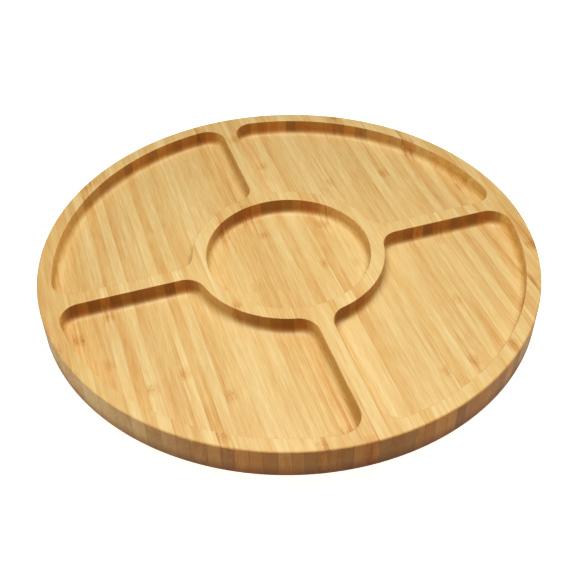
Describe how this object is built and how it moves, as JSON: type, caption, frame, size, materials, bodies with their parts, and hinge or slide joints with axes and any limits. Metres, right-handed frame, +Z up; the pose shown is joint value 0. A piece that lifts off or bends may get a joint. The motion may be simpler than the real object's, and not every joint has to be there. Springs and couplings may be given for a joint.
{
  "type": "lazy susan turntable",
  "caption": "Round bamboo serving tray divided into a centre well and ring of sector wells, turning freely on a low ball-bearing base with rubber feet.",
  "frame": {"origin": "on the spin axis, at the level of the feet's treads, which is the surface the turntable stands on", "axes": "+Z up along the spin axis; at rest the tray's straight ribs lie along X and Y, and its bamboo strips run along Y"},
  "size_m": [0.35, 0.35, 0.045],
  "materials": {
    "bamboo_tray": "side-pressed bamboo, sanded and oiled to a low satin",
    "bamboo_base": "side-pressed bamboo, sanded, almost matte",
    "plated_steel": "pressed steel with bright zinc plating",
    "polished_steel": "polished bearing balls, lightly greased",
    "natural_nylon": "moulded natural nylon",
    "screw_steel": "zinc plated",
    "black_rubber": "matte moulded rubber"
  },
  "bodies": {
    "base": {"base_disc": "bamboo_base", "bearing_lower_plate": "plated_steel", "base_screw_1": "screw_steel", "base_screw_2": "screw_steel", "base_screw_3": "screw_steel", "base_screw_4": "screw_steel", "foot_1": "black_rubber", "foot_2": "black_rubber", "foot_3": "black_rubber", "foot_4": "black_rubber", "foot_screw_1": "screw_steel", "foot_screw_2": "screw_steel", "foot_screw_3": "screw_steel", "foot_screw_4": "screw_steel"},
    "tray": {"tray_board": "bamboo_tray", "bearing_upper_plate": "plated_steel", "tray_screw_1": "screw_steel", "tray_screw_2": "screw_steel", "tray_screw_3": "screw_steel", "tray_screw_4": "screw_steel"},
    "ball_set": {"ball_cage": "natural_nylon", "ball_01": "polished_steel", "ball_02": "polished_steel", "ball_03": "polished_steel", "ball_04": "polished_steel", "ball_05": "polished_steel", "ball_06": "polished_steel", "ball_07": "polished_steel", "ball_08": "polished_steel", "ball_09": "polished_steel", "ball_10": "polished_steel", "ball_11": "polished_steel", "ball_12": "polished_steel", "ball_13": "polished_steel", "ball_14": "polished_steel", "ball_15": "polished_steel", "ball_16": "polished_steel"}
  },
  "joints": [
    {"name": "tray_spin", "type": "hinge", "parent": "base", "child": "tray", "pos_m": [0, 0, 0.018], "axis": [0, 0, 1], "continuous": true},
    {"name": "cage_spin", "type": "hinge", "parent": "base", "child": "ball_set", "pos_m": [0, 0, 0.018], "axis": [0, 0, 1], "continuous": true}
  ],
  "couplings": [
    {"joint": "cage_spin", "follows": "tray_spin", "ratio": 0.5}
  ]
}
